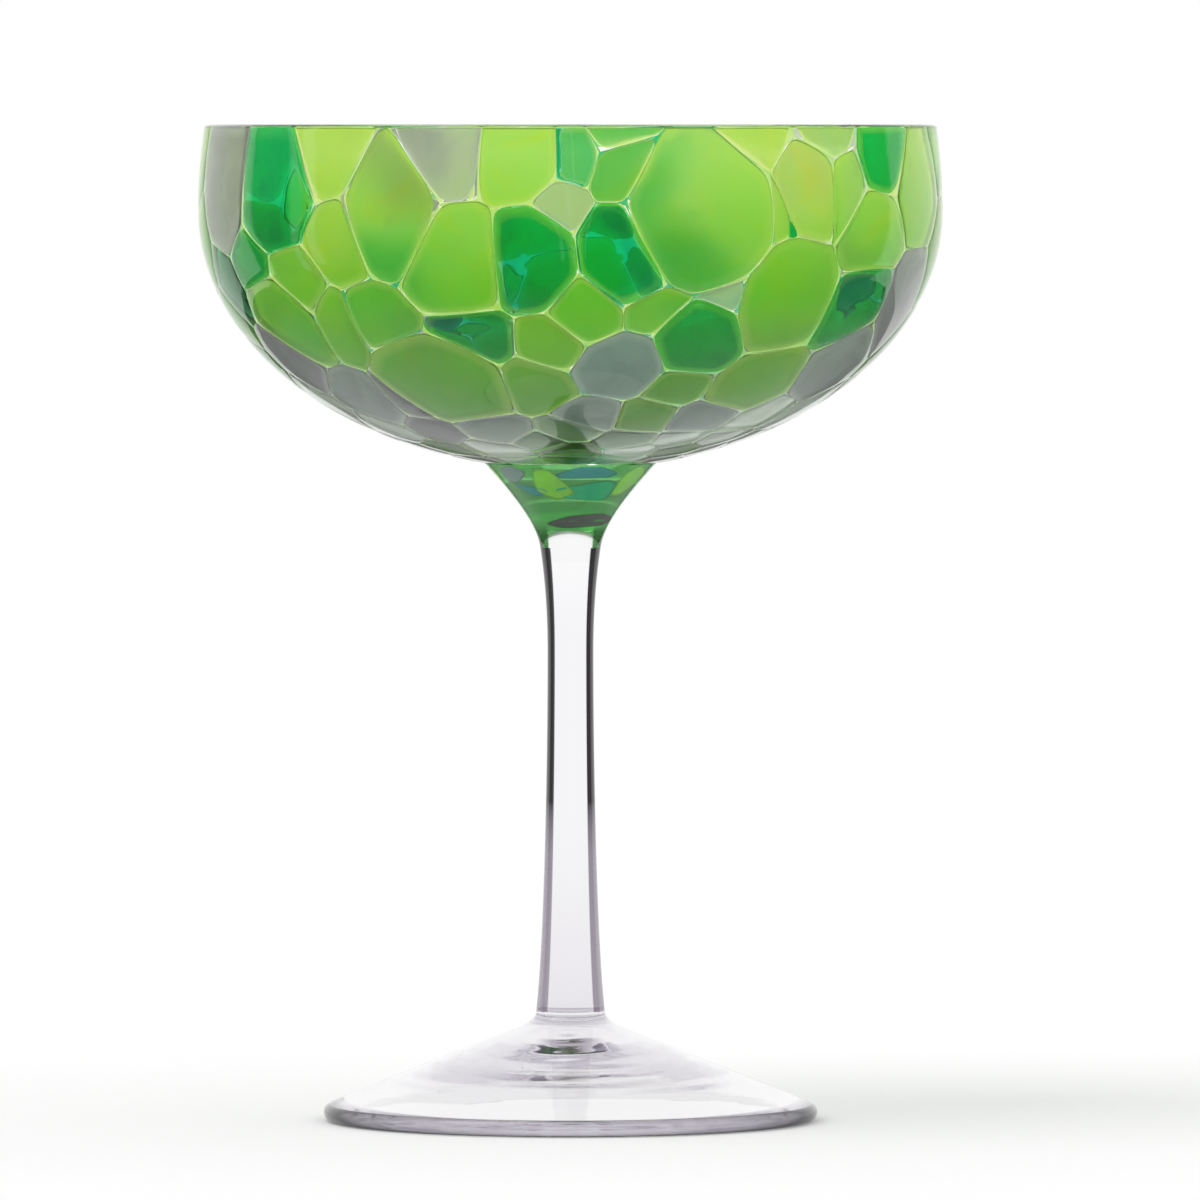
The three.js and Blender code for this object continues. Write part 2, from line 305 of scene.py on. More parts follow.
def glass_with_painted_edge_shade(name, stops, slants):
    """Clear glass whose tint changes with height, and turns into another, darker one at its edges, between
    two
    slants (1 less the cosine): painted shade at the edges. Stops are heights in millimetres, tints, and the
    painted shade's tints at the edge."""
    material, nodes, links, shader = new_material(name)
    faced = height_tint(nodes, links, [(height, tint) for height, tint, _ in stops])
    edge = height_tint(nodes, links, [(height, tint) for height, _, tint in stops])
    slant = nodes.new("ShaderNodeLayerWeight")
    share = map_range(nodes, links, slant.outputs["Facing"], *slants)
    # the edge tint, mixed in by slant, is painted shade
    links.new(mix_colours(nodes, links, share, faced, edge), shader.inputs["Base Color"])
    set_glass(shader, 1, GLASS_IOR, 0)
    return material


def thick(material):
    """The foot's glass takes up some light along the way through it, whichever face the light meets."""
    nodes, links = material.node_tree.nodes, material.node_tree.links
    absorption = nodes.new("ShaderNodeVolumeAbsorption")
    absorption.inputs["Color"].default_value = (0.5, 0.45, 0.55, 1)
    absorption.inputs["Density"].default_value = 12
    links.new(absorption.outputs["Volume"], output_of(nodes).inputs["Volume"])
    return material


def streaks(nodes, links):
    """Shares of soft streaks, from 0 to 1."""
    place = nodes.new("ShaderNodeTexCoord")
    noise = nodes.new("ShaderNodeTexNoise")
    noise.inputs["Scale"].default_value = 90
    noise.inputs["Detail"].default_value = 3
    noise.inputs["Distortion"].default_value = 1.2
    links.new(place.outputs["Object"], noise.inputs["Vector"])
    return map_range(nodes, links, noise.outputs["Fac"], 0.45, 0.75)


def chip_glass(name, colours, streak, transmission, opal, edge=WHITE, edge_share=0.0):
    """Glass bedded in glass of about the same index, so it tints and, where it is opal, clouds the light. It
    has three colours from the neck up to the rim, which for the bowl's chips are dark low down as painted
    shade, soft streaks, and another colour at a chip's edge: in the bowl's chips a lighter one, a painted
    glow along the seams, and in the neck's patches a darker one."""
    material, nodes, links, shader = new_material(name)
    heights = (NECK_TOP, (NECK_TOP + RIM_HEIGHT) / 2, RIM_HEIGHT)
    # darker towards the neck: painted shade
    body = height_tint(nodes, links, list(zip(heights, colours)))
    streaked = mix_colours(nodes, links, streaks(nodes, links), body, streak, "MULTIPLY")
    near_edge = nodes.new("ShaderNodeAttribute")
    near_edge.attribute_name = "edge"
    share = calculate(nodes, links, "MULTIPLY", near_edge.outputs["Fac"], edge_share)
    # the colour at the edge: for the bowl's chips a lighter one, a painted glow along the seams
    links.new(mix_colours(nodes, links, share, streaked, edge), shader.inputs["Base Color"])
    if opal:
        set_glass(shader, transmission, OPAL_IOR, OPAL_ROUGHNESS)
    else:
        set_glass(shader, transmission, MATCHED_IOR, 0)
    return material


def lime_glass(name, warmth):
    """Lime glass, yellower with more warmth."""
    # dark at the neck and light at the rim: the dark end is painted shade
    colours = [(0.02, 0.12, 0.001), (0.16, 0.64, 0.02), (0.64, 1.0, 0.18)]
    colours = [(red * warmth, green, blue) for red, green, blue in colours]
    # the edge colour (0.8, 1.0, 0.2) is a painted glow along the seams
    return chip_glass(name, colours, (1.35, 0.98, 0.4), 0.86, True, (0.8, 1.0, 0.2), 0.4)


def emerald_glass(name, brightness):
    """Clear emerald glass, bluer where it is less bright."""
    # dark at the neck: painted shade
    colours = [(0.0, 0.04, 0.015), (0.0, 0.22, 0.04), (0.0, 0.48, 0.06)]
    colours = [(red * brightness, green * brightness, blue) for red, green, blue in colours]
    # the edge colour is a painted glow along the seams
    return chip_glass(name, colours, (1, 0.6, 0.9), 0.99, False, (0.1, 0.8, 0.12), 0.4)


def grey_glass(name, low, middle):
    """Grey opal glass in given tones low down, darker there as painted shade, and half way up."""
    colours = [low, middle, (0.52, 0.54, 0.48)]
    # the edge colour is a painted glow along the seams
    return chip_glass(name, colours, (0.72, 0.7, 0.74), 0.4, True, (0.8, 0.85, 0.82), 0.5)


def neck_glass(name, colour, streak):
    """Glass of a patch in the neck, darker at its edge."""
    edge = tuple(level * 0.45 for level in colour)
    return chip_glass(name, [colour] * 3, streak, 0.25, False, edge, 0.7)


CLEAR = clear_glass("clear_glass", GLASS_IOR)
FUSED = clear_glass("fused_joint", MATCHED_IOR)
OPAL_UNDERSIDE = clear_glass("opal_underside", OPAL_IOR)
# Near black: painted shade at the stem's edges, for the dark surroundings that glass shows there
STEM_PAINTED_EDGE_SHADE = (0.001, 0.0008, 0.001)
# Stops of the stem and the neck: height, tint, and tint at the edge, which is painted shade
STEM_GLASS = glass_with_painted_edge_shade(
    "stem_glass",
    [
        # towards the foot the tint is greyer and the painted edge shade lighter
        (FOOT_HEIGHT, (0.84, 0.82, 0.86), (0.16, 0.13, 0.17)),
        (40, (0.94, 0.93, 0.95), (0.1, 0.08, 0.11)),
        (48, (0.95, 0.94, 0.96), STEM_PAINTED_EDGE_SHADE),
        (75, (0.95, 0.94, 0.97), STEM_PAINTED_EDGE_SHADE),
        (STEM_TOP, WHITE, STEM_PAINTED_EDGE_SHADE),
    ],
    (0.25, 0.28),
)
# From the stem up past its dome, the neck's clear glass has dark green edges: painted shade
NECK_CLEAR = glass_with_painted_edge_shade(
    "neck_clear",
    [
        (STEM_TOP, WHITE, (0.003, 0.05, 0.004)),
        (STEM_TOP + STEM_DOME_RISE, WHITE, (0.02, 0.15, 0.02)),
        (STEM_TOP + STEM_DOME_RISE + NECK_PLUG, WHITE, WHITE),
        (NECK_TOP, WHITE, WHITE),
    ],
    (0.29, 0.34),
)
# Near black: painted shade at the edges of the foot's rounded rim
RIM_PAINTED_EDGE_SHADE = (0.004, 0.004, 0.006)
RIM_STOPS = [(height, WHITE, RIM_PAINTED_EDGE_SHADE) for height in (0, 2 * FOOT_EDGE_ROUND)]
FOOT_GLASS = thick(clear_glass("foot_glass", GLASS_IOR))
FOOT_RIM = thick(glass_with_painted_edge_shade("foot_rim", RIM_STOPS, (0.1, 0.65)))
FOOT_JOINT = thick(clear_glass("foot_joint", MATCHED_IOR))
BOWL_GLASS = layered_glass(
    "bowl_glass", [(NECK_TOP, WHITE), (EQUATOR, (0.96, 1, 0.84)), (RIM_HEIGHT, (0.98, 1, 0.9))]
)
# Chip colours from the neck up to the rim: the first, darker ones are painted shade
PALE = [(0.09, 0.2, 0.08), (0.6, 0.72, 0.6), (0.78, 0.86, 0.76)]
MILKY = [(0.6, 0.68, 0.6), (0.8, 0.85, 0.8), (0.9, 0.92, 0.9)]
TEAL = [(0.02, 0.24, 0.2), (0.02, 0.36, 0.24), (0.04, 0.5, 0.26)]
CHIP_GLASS = {
    "L": [
        lime_glass("lime_glass", 1),
        lime_glass("lime_glass_warm", 1.2),
        lime_glass("lime_glass_cool", 0.8),
    ],
    "E": [emerald_glass("emerald_glass", 1), emerald_glass("emerald_glass_deep", 0.8)],
    "G": [
        grey_glass("grey_glass", (0.19, 0.26, 0.26), (0.5, 0.56, 0.57)),
        grey_glass("grey_glass_lilac", (0.13, 0.125, 0.15), (0.49, 0.5, 0.54)),
    ],
    # The edge colours of the pale, white and teal chips are a painted glow along the seams
    "P": [chip_glass("pale_glass", PALE, (0.8, 0.86, 0.96), 0.7, True, (0.9, 1, 0.9), 0.4)],
    "W": [chip_glass("white_glass", MILKY, (0.9, 0.9, 0.95), 0.9, True, (0.9, 1, 0.9), 0.4)],
    "T": [chip_glass("teal_glass", TEAL, (0.7, 0.8, 1), 0.95, False, (0.3, 0.8, 0.5), 0.4)],
}
NECK_GREEN = chip_glass("neck_green", [(0.26, 0.84, 0.27)] * 3, (0.7, 0.85, 0.7), 0.6, False)
NECK_GLASS = {
    "L": neck_glass("neck_lime", (0.42, 1, 0.08), (0.7, 0.8, 1)),
    "E": neck_glass("neck_emerald", (0.01, 0.72, 0.32), (1, 0.8, 1)),
    "T": neck_glass("neck_teal", (0.06, 0.48, 0.52), (0.8, 1, 0.7)),
    "G": neck_glass("neck_grey", (0.34, 0.46, 0.48), (0.8, 0.7, 0.8)),
    "V": neck_glass("neck_violet", (0.17, 0.14, 0.17), (0.8, 0.8, 0.8)),
}


# Meshes


def add_piece(mesh, nodes=()):
    """A piece for a mesh, with its name, which rides on the glass and stands for nodes."""
    piece = bpy.data.objects.new(mesh.name, mesh)
    bpy.context.collection.objects.link(piece)
    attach(piece, "root")
    if nodes:
        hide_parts(*nodes)


def make_piece(name, vertices, faces, materials, nodes, face_materials, edges=None):
    """A smooth piece from vertices in millimetres. face_materials are numbers in its list of materials, and
    edges says how near each vertex is to a chip's edge."""
    mesh = bpy.data.meshes.new(name)
    mesh.from_pydata([Vector(vertex) * MM for vertex in vertices], [], faces)
    for material in materials:
        mesh.materials.append(material)
    mesh.polygons.foreach_set("material_index", face_materials)
    shape = bmesh.new()
    shape.from_mesh(mesh)
    bmesh.ops.recalc_face_normals(shape, faces=shape.faces)
    shape.to_mesh(mesh)
    shape.free()
    mesh.polygons.foreach_set("use_smooth", [True] * len(mesh.polygons))
    mesh.set_sharp_from_angle(angle=math.radians(SHARP_ANGLE))
    if edges is not None:
        mesh.attributes.new("edge", "FLOAT", "POINT").data.foreach_set("value", edges)
    add_piece(mesh, nodes)


def cubic(a, b, c, d, steps):
    t = np.linspace(0, 1, steps + 1)[:, None]
    a, b, c, d = map(np.array, (a, b, c, d))
    return (1 - t) ** 3 * a + 3 * (1 - t) ** 2 * t * b + 3 * (1 - t) * t**2 * c + t**3 * d


def quadratic(a, b, c, steps):
    a, b, c = map(np.array, (a, b, c))
    return cubic(a, a + (b - a) * 2 / 3, c + (b - c) * 2 / 3, c, steps)


def arc(middle, radii, start, end, steps):
    t = np.linspace(start, end, steps + 1)
    return np.stack([middle[0] + radii[0] * np.cos(t), middle[1] + radii[1] * np.sin(t)], axis=1)


def turned(name, spans, segments, materials, node, wave=None):
    """A closed piece turned round the axis. A span is a material's number and a run of (radius, height)
    points, and each span starts where the last one ended. wave moves a point's height by its place."""
    rows, row_material = [], []
    for number, points in spans:
        for point in points[1 if rows else 0:]:
            rows.append(tuple(point))
            row_material.append(number)
    vertices, starts = [], []
    for radius, height in rows:
        starts.append(len(vertices))
        count = 1 if radius < TINY else segments
        for i in range(count):
            angle = TURN * i / segments
            lift = wave(radius, height, angle) if wave else 0
            vertices.append((radius * math.sin(angle), -radius * math.cos(angle), height + lift))
    faces, face_materials = [], []
    for row in range(1, len(rows)):
        a, b = starts[row - 1], starts[row]
        one_a, one_b = rows[row - 1][0] < TINY, rows[row][0] < TINY
        for i in range(segments):
            j = (i + 1) % segments
            above = [a] if one_a else [a + i, a + j]
            below = [b] if one_b else [b + j, b + i]
            faces.append(above + below)
            face_materials.append(row_material[row])
    make_piece(name, vertices, faces, materials, [node] if node else [], face_materials)


# Foot, stem and neck


def foot():
    """A hollow cone with a rounded rim, and a short boss that the stem stands on."""
    edge = np.array([FOOT_RADIUS - FOOT_EDGE_ROUND, FOOT_EDGE_ROUND])
    flare = np.array([FOOT_FLARE_RADIUS, FOOT_HEIGHT - FOOT_BOSS_HEIGHT])
    to_flare = flare - edge
    reach = math.acos(FOOT_EDGE_ROUND / np.linalg.norm(to_flare))
    tangent = math.atan2(to_flare[1], to_flare[0]) - reach
    corner = flare[1] + (flare[0] - STEM_END_RADIUS) / math.tan(tangent)
    rest_inner = edge[0] - FOOT_REST_WIDTH
    top = FOOT_HEIGHT - FUSED_GAP
    hollow = quadratic((0, FOOT_HOLLOW), (FOOT_HOLLOW_TURN, FOOT_HOLLOW), (rest_inner, 0), 40)
    round_edge = arc(edge, (FOOT_EDGE_ROUND, FOOT_EDGE_ROUND), -math.pi / 2, tangent, 14)
    cone = np.linspace(round_edge[-1], flare, 30)
    boss = quadratic(flare, (STEM_END_RADIUS, corner), (STEM_END_RADIUS, top), 12)
    upper = np.concatenate([cone, boss[1:]])

    def wave(radius, height, angle):
        """Faint ripples in the hollow: rings at the axis, and swirls further out."""
        fade = max(0, 1 - radius / rest_inner)
        bend = min(1, radius / 6)
        rings = math.sin(2 * radius + bend * math.sin(2 * angle))
        swirl = rings + bend * math.sin(0.8 * radius - 3 * angle + 1)
        return FOOT_WAVE * fade * swirl if height < FOOT_HOLLOW + 1 and radius < rest_inner else 0

    rest = [hollow[-1], round_edge[0]]
    spans = [(0, hollow), (0, rest), (1, round_edge), (0, upper), (2, [upper[-1], (0, top)])]
    glasses = [FOOT_GLASS, FOOT_RIM, FOOT_JOINT]
    turned("foot_glass", spans, FOOT_SIDES, glasses, "foot", wave)


def dome(gap, steps=20):
    """The stem's domed top, or with a gap the socket round it."""
    radius = STEM_TOP_RADIUS - STEM_SHOULDER_WIDTH + gap
    t = np.linspace(0, math.pi / 2, steps + 1)
    across, up = np.abs(np.cos(t)) ** STEM_DOME_POWER, np.sin(t) ** STEM_DOME_POWER
    return np.stack([radius * across, STEM_TOP + (STEM_DOME_RISE + gap) * up], axis=1)


def stem():
    """A drawn stem with a waist near its top, and a domed end in the neck."""
    waist = STEM_TOP - STEM_WAIST_DROP
    lower = waist - FOOT_HEIGHT
    slope = NECK_LOWER_PULL[0] / NECK_LOWER_PULL[1]
    pull = STEM_WAIST_DROP / 3
    third = (STEM_END_RADIUS + 2 * STEM_WAIST_RADIUS) / 3
    lower_side = cubic(
        (STEM_END_RADIUS, FOOT_HEIGHT),
        (third, FOOT_HEIGHT + lower / 5),
        (STEM_WAIST_RADIUS, waist - lower / 3),
        (STEM_WAIST_RADIUS, waist),
        40,
    )
    upper_side = cubic(
        (STEM_WAIST_RADIUS, waist),
        (STEM_WAIST_RADIUS, waist + pull),
        (STEM_TOP_RADIUS - slope * pull, STEM_TOP - pull),
        (STEM_TOP_RADIUS, STEM_TOP),
        24,
    )
    side = np.concatenate([lower_side, upper_side[1:]])
    top = np.concatenate([side[-1:], dome(0)])
    top[-1, 0] = 0
    spans = [(1, [(0, FOOT_HEIGHT), side[0]]), (0, side), (1, top)]
    turned("stem_glass", spans, STEM_SIDES, [STEM_GLASS, FUSED], "stem")


def neck_side():
    """The neck's outline from the stem up to the bowl."""
    return cubic(
        (STEM_TOP_RADIUS, STEM_TOP + FUSED_GAP),
        (STEM_TOP_RADIUS + NECK_LOWER_PULL[0], STEM_TOP + NECK_LOWER_PULL[1]),
        (NECK_TOP_RADIUS - NECK_UPPER_PULL[0], NECK_TOP - NECK_UPPER_PULL[1]),
        (NECK_TOP_RADIUS, NECK_TOP - FUSED_GAP),
        28,
    )


def neck():
    """The solid neck, with a socket for the stem's dome."""
    socket = dome(FUSED_GAP)[::-1]
    socket[0, 0] = 0
    side = neck_side()
    spans = [(1, [*socket, side[0]]), (0, side), (1, [side[-1], (0, side[-1][1])])]
    turned("neck_glass", spans, NECK_SIDES, [NECK_CLEAR, FUSED], "bowl_neck")


def neck_core():
    """The green glass inside the neck, under a thin clear skin, down to the clear plug over the stem."""
    side = neck_side()
    bottom = STEM_TOP + STEM_DOME_RISE + NECK_PLUG
    top = NECK_TOP - NECK_SKIN
    side = side[(side[:, 1] > bottom) & (side[:, 1] < top)] - (NECK_SKIN, 0)
    profile = [(0, bottom), (side[0, 0] - NECK_SKIN, bottom), *side, (0, top)]
    turned("neck_core", [(0, profile)], NECK_SIDES, [NECK_GREEN], None)


# The chart of the bowl


def bowl_at(angle, inset=0.0):
    """The bowl's outline at an eccentric angle, moved in along its normal, as radius and height."""
    depth = np.where(angle > 0, UPPER_DEPTH, BOWL_DEPTH)
    normal = np.stack([np.cos(angle) / BOWL_RADIUS, np.sin(angle) / depth])
    normal /= np.linalg.norm(normal, axis=0)
    radius = BOWL_RADIUS * np.cos(angle) - inset * normal[0]
    height = EQUATOR + depth * np.sin(angle) - inset * normal[1]
    return radius, height


CHART_ANGLES = np.linspace(CHIP_TOP_ANGLE, NECK_ANGLE, 801)
CHART_RADII, CHART_HEIGHTS = bowl_at(CHART_ANGLES)
CHART_STEPS = np.hypot(np.diff(CHART_RADII), np.diff(CHART_HEIGHTS))
CHART_DEPTHS = np.concatenate([[0], np.cumsum(2 * CHART_STEPS / (CHART_RADII[1:] + CHART_RADII[:-1]))])
CHART_END = CHART_DEPTHS[-1]


def chart_radius(depth):
    return np.interp(depth, CHART_DEPTHS, CHART_RADII)


def wander(places):
    """Chart places moved a little to and fro, so that the seams curve. The two ends stay level."""
    x, y = places[:, 0], places[:, 1]
    fade = np.clip(np.minimum(y, CHART_END - y) / SEAM_LEVEL, 0, 1)
    moved = places.copy()
    for round_turns, down_turns, start in SEAM_WAVES:
        moved[:, 0] += SEAM_WANDER * np.sin(round_turns * x + down_turns * y + start)
        moved[:, 1] += SEAM_WANDER * fade * np.cos(down_turns * x - round_turns * y + start)
    return moved


def on_bowl(places, lift):
    """Chart places as points of the bowl, lifted off its outline."""
    places = wander(np.asarray(places))
    radius, height = bowl_at(np.interp(places[:, 1], CHART_DEPTHS, CHART_ANGLES), -np.asarray(lift))
    return np.stack([radius * np.sin(places[:, 0]), -radius * np.cos(places[:, 0]), height], axis=1)


# The layout of the chips


def lay_out_chips():
    """Every chip as its glass, its CAD node or None, and its middle and half width on the chart."""
    made, counts = [], {}
    for depth, words in MOSAIC:
        for word in words.split():
            width, azimuth = map(float, word[1:].split("@"))
            node = None
            if word[0].isupper():
                counts[word[0]] = counts.get(word[0], 0) + 1
                node = f"{GLASS_NAMES[word[0]]}_chip_{counts[word[0]]:02d}"
            place = (math.radians(azimuth), math.radians(depth))
            made.append((word[0].upper(), node, *place, math.radians(width) / 2))
    return made


CHIPS = lay_out_chips()
SEEDS = np.array([[x + turn, y, half] for turn in (-TURN, 0, TURN) for _, _, x, y, half in CHIPS])


def neighbours(chip):
    """The directions and the distances of the lines that part a chip from every other, and half the seam
    there in millimetres."""
    _, _, x, y, half = chip
    away = SEEDS[:, :2] - (x, y)
    gap = np.linalg.norm(away, axis=1)
    near = (gap > TINY) & (gap < CHIP_REACH)
    away, gap = away[near], gap[near]
    middle = (gap**2 + half**2 - SEEDS[near, 2] ** 2) / (2 * gap)
    narrow, wide = CHIP_SEAMS
    by_gap, by_width = SEAM_SCATTER
    chance = np.sin(by_gap * gap + by_width * half + by_width * SEEDS[near, 2]) / 2 + 0.5
    return away / gap[:, None], middle, (narrow + (wide - narrow) * chance**2) / 2


def cut(polygon, normal, limit):
    """The part of a polygon where normal . p is at most limit."""
    kept = []
    for a, b in zip(polygon, polygon[1:] + polygon[:1]):
        over_a, over_b = np.dot(normal, a) - limit, np.dot(normal, b) - limit
        if over_a <= 0:
            kept.append(a)
        if (over_a < 0) != (over_b < 0):
            kept.append(a + (b - a) * over_a / (over_a - over_b))
    return kept


def cell_of(chip, with_seams):
    """The chip's cell on the chart, up to the middle of its seams or only to their near sides."""
    middle = np.array(chip[2:4])
    radius = chart_radius(chip[3])
    polygon = [middle + corner for corner in ((-1, -1), (-1, 1), (1, 1), (1, -1))]
    for normal, distance, half_seam in zip(*neighbours(chip)):
        reach = distance if with_seams else distance - half_seam / radius
        polygon = cut(polygon, normal, np.dot(normal, middle) + reach)
    return polygon


def stop_level(polygon):
    return cut(cut(polygon, np.array((0, -1)), 0), np.array((0, 1)), CHART_END)


def round_corners(polygon, share):
    rounded = []
    for a, b in zip(polygon, polygon[1:] + polygon[:1]):
        rounded += [a + (b - a) * share, b + (a - b) * share]
    return rounded


def split_long(polygon, longest):
    """The polygon with points added along its sides, at most longest apart in millimetres."""
    points = []
    for a, b in zip(polygon, polygon[1:] + polygon[:1]):
        length = np.linalg.norm(b - a) * chart_radius((a[1] + b[1]) / 2)
        steps = max(1, math.ceil(length / longest - TINY))
        points += [a + (b - a) * i / steps for i in range(steps)]
    return points


def pebble_lift(places, chip):
    """How far the skin over a chip lies above the bowl's outline: a groove over each seam."""
    places = np.asarray(places)
    normals, distances, _ = neighbours(chip)
    to_seam = distances[None, :] - (places - np.array(chip[2:4])) @ normals.T
    to_seam = np.maximum(to_seam, 0) * chart_radius(places[:, 1])[:, None]
    lift = np.zeros(len(places))
    for depth, spread in SEAM_GROOVES:
        lift -= depth * np.minimum(GROOVE_LIMIT, np.exp(-((to_seam / spread) ** 2)).sum(axis=1))
    return lift


# Bowl


def skin_rings(boundary):
    """Rings of chart places inside a cell's boundary, closer to its middle one by one, and the middle."""
    middle = boundary.mean(axis=0)
    ahead = np.roll(boundary, -1, axis=0) - boundary
    side_normal = np.stack([ahead[:, 1], -ahead[:, 0]], axis=1)
    side_normal /= np.linalg.norm(side_normal, axis=1)[:, None]
    depth = np.abs(((middle - boundary) * side_normal).sum(axis=1)) * chart_radius(middle[1])
    depth = np.minimum(depth, np.roll(depth, 1))
    rings = []
    for distance in SKIN_RINGS:
        share = np.minimum(SKIN_DEEPEST, distance / depth)[:, None]
        rings.append(boundary + (middle - boundary) * share)
    for share in SKIN_INNER_RINGS:
        rings.append(rings[len(SKIN_RINGS) - 1] * (1 - share) + middle * share)
    for turn, ring in enumerate(rings):
        for _ in range(min(turn, SKIN_SMOOTHINGS)):
            ring[:] = ring / 2 + (np.roll(ring, 1, axis=0) + np.roll(ring, -1, axis=0)) / 4
    return rings, middle


def bowl_shell():
    """The clear bowl: a skin of pebbles outside, a rounded rim, a smooth inside and a flat joint below."""
    vertices, faces, shared = [], [], {}

    def add(places, chip):
        start = len(vertices)
        vertices.extend(on_bowl(places, pebble_lift(places, chip)))
        return list(range(start, len(vertices)))

    for chip in CHIPS:
        boundary = np.array(split_long(stop_level(cell_of(chip, True)), SKIN_STEP))
        loop = []
        for place in boundary:
            # two cells have the points along their seam in common
            key = (round(place[0] % TURN, 6) % round(TURN, 6), round(place[1], 6))
            if key not in shared:
                shared[key] = add([place], chip)[0]
            loop.append(shared[key])
        rings, middle = skin_rings(boundary)
        for ring in rings:
            inner = add(ring, chip)
            for i in range(len(loop)):
                j = (i + 1) % len(loop)
                faces.append((loop[i], loop[j], inner[j], inner[i]))
            loop = inner
        pole = add([middle], chip)[0]
        faces += [(loop[i], loop[(i + 1) % len(loop)], pole) for i in range(len(loop))]

    rim = [index for (_, depth), index in sorted(shared.items()) if depth < TINY]
    base = [index for (_, depth), index in sorted(shared.items()) if depth > CHART_END - TINY]

    def close(loop, rows, pole):
        """Rows of (radius, height) lofted on from a loop at the same azimuths, up to a pole."""
        azimuths = [math.atan2(vertices[i][0], -vertices[i][1]) for i in loop]
        made = []
        for radius, height in rows:
            start = len(vertices)
            vertices.extend((radius * math.sin(a), -radius * math.cos(a), height) for a in azimuths)
            ring = list(range(start, len(vertices)))
            made += [(loop[i - 1], loop[i], ring[i], ring[i - 1]) for i in range(len(loop))]
            loop = ring
        vertices.append((0, 0, pole))
        made += [(loop[i - 1], loop[i], len(vertices) - 1) for i in range(len(loop))]
        return made

    outer, start_height = bowl_at(np.array(CHIP_TOP_ANGLE))
    inner, _ = bowl_at(np.array(CHIP_TOP_ANGLE), BOWL_WALL)
    half_wall = (outer - inner) / 2
    lip = arc((inner + half_wall, start_height), (half_wall, RIM_ROUND), 0, math.pi, LIP_STEPS)[1:-1]
    angles = np.linspace(CHIP_TOP_ANGLE, -math.pi / 2, INSIDE_STEPS)
    inside = np.stack(bowl_at(angles[:-1], BOWL_WALL), axis=1)
    _, bottom = bowl_at(angles[-1], BOWL_WALL)
    faces += close(rim, [*lip, *inside], float(bottom))
    glass_faces = len(faces)
    joint = [(NECK_TOP_RADIUS * share, NECK_TOP) for share in JOINT_RINGS]
    faces += close(base, joint, NECK_TOP)
    numbers = [0] * glass_faces + [1] * (len(faces) - glass_faces)
    glasses = [BOWL_GLASS, FUSED]
    make_piece("bowl_glass", vertices, faces, glasses, ["bowl_lining"], numbers)


# Chips


PAD_EDGES = (0, 0, 1, 1, 1, 0, 0)  # how near a pad's rings, from pole to pole, are to its edge


def pad_edges(count):
    rings = [[value] * count for value in PAD_EDGES[1:-1]]
    return [PAD_EDGES[0], *sum(rings, []), PAD_EDGES[-1]]


def pad_sides(count):
    """The faces over a pole, five rings and a pole, and their materials: glass above, and clear below."""
    faces = [(0, 1 + i, 1 + (i + 1) % count) for i in range(count)]
    for ring in range(4):
        a, b = 1 + ring * count, 1 + (ring + 1) * count
        faces += [(a + i, b + i, b + (i + 1) % count, a + (i + 1) % count) for i in range(count)]
    last, end = 1 + 4 * count, 1 + 5 * count
    faces += [(end, last + (i + 1) % count, last + i) for i in range(count)]
    return faces, [0] * (3 * count) + [1] * (3 * count)


def add_pad(pads, glass, vertices, faces, numbers, edges):
    """Adds a pad to those of the same glass, which become one piece."""
    all_vertices, all_faces, all_numbers, all_edges = pads.setdefault(glass, ([], [], [], []))
    all_faces += [tuple(len(all_vertices) + i for i in face) for face in faces]
    all_vertices += list(vertices)
    all_numbers += numbers
    all_edges += edges


def chip_skin(chip):
    """A chip as a thin rounded pad under the skin: its vertices, its faces with their materials, and how near
    the vertices are to its edge."""
    outline = cell_of(chip, False)
    for share in CHIP_ROUNDING:
        outline = round_corners(outline, share)
    outline = np.array(split_long(stop_level(outline), CHIP_STEP))
    middle = outline.mean(axis=0)
    half_width = np.linalg.norm(outline - middle, axis=1).mean() * chart_radius(middle[1])
    edge = 1 - CHIP_BEVEL / half_width
    top = -CHIP_COVER
    low = -CHIP_FLOOR
    over = [(0, 1), (CHIP_FLAT, 1), (edge, 1)]
    under = [(edge, 0), (CHIP_FLAT, 0), (0, 0)]
    vertices = []
    for share, level in (*over, (1, 0.5), *under):
        places = middle + (outline - middle) * share if share else middle[None, :]
        upper = np.minimum(top + pebble_lift(places, chip), top)
        vertices.append(on_bowl(places, low + (upper - low) * level))
    return np.concatenate(vertices), *pad_sides(len(outline)), pad_edges(len(outline))


def underside(glass):
    """The face under a chip: a step to the clear glass for cloudy glass, or none."""
    return OPAL_UNDERSIDE if glass in OPAL else FUSED


def chips():
    """The chips that are CAD nodes, one piece each, and the small ones, one piece for each glass."""
    small = {}
    for place, chip in enumerate(CHIPS):
        glass, node = chip[:2]
        vertices, faces, numbers, edges = chip_skin(chip)
        shades = CHIP_GLASS[glass]
        shade = place % len(shades)
        if node:
            materials = [shades[shade], underside(glass)]
            make_piece(f"{node}_glass", vertices, faces, materials, [node], numbers, edges)
        else:
            kinds = [shade if number == 0 else len(shades) for number in numbers]
            add_pad(small, glass, vertices, faces, kinds, edges)
    for glass, (vertices, faces, kinds, edges) in small.items():
        name = f"small_{GLASS_NAMES[glass]}_chips"
        materials = [*CHIP_GLASS[glass], underside(glass)]
        make_piece(name, vertices, faces, materials, (), kinds, edges)


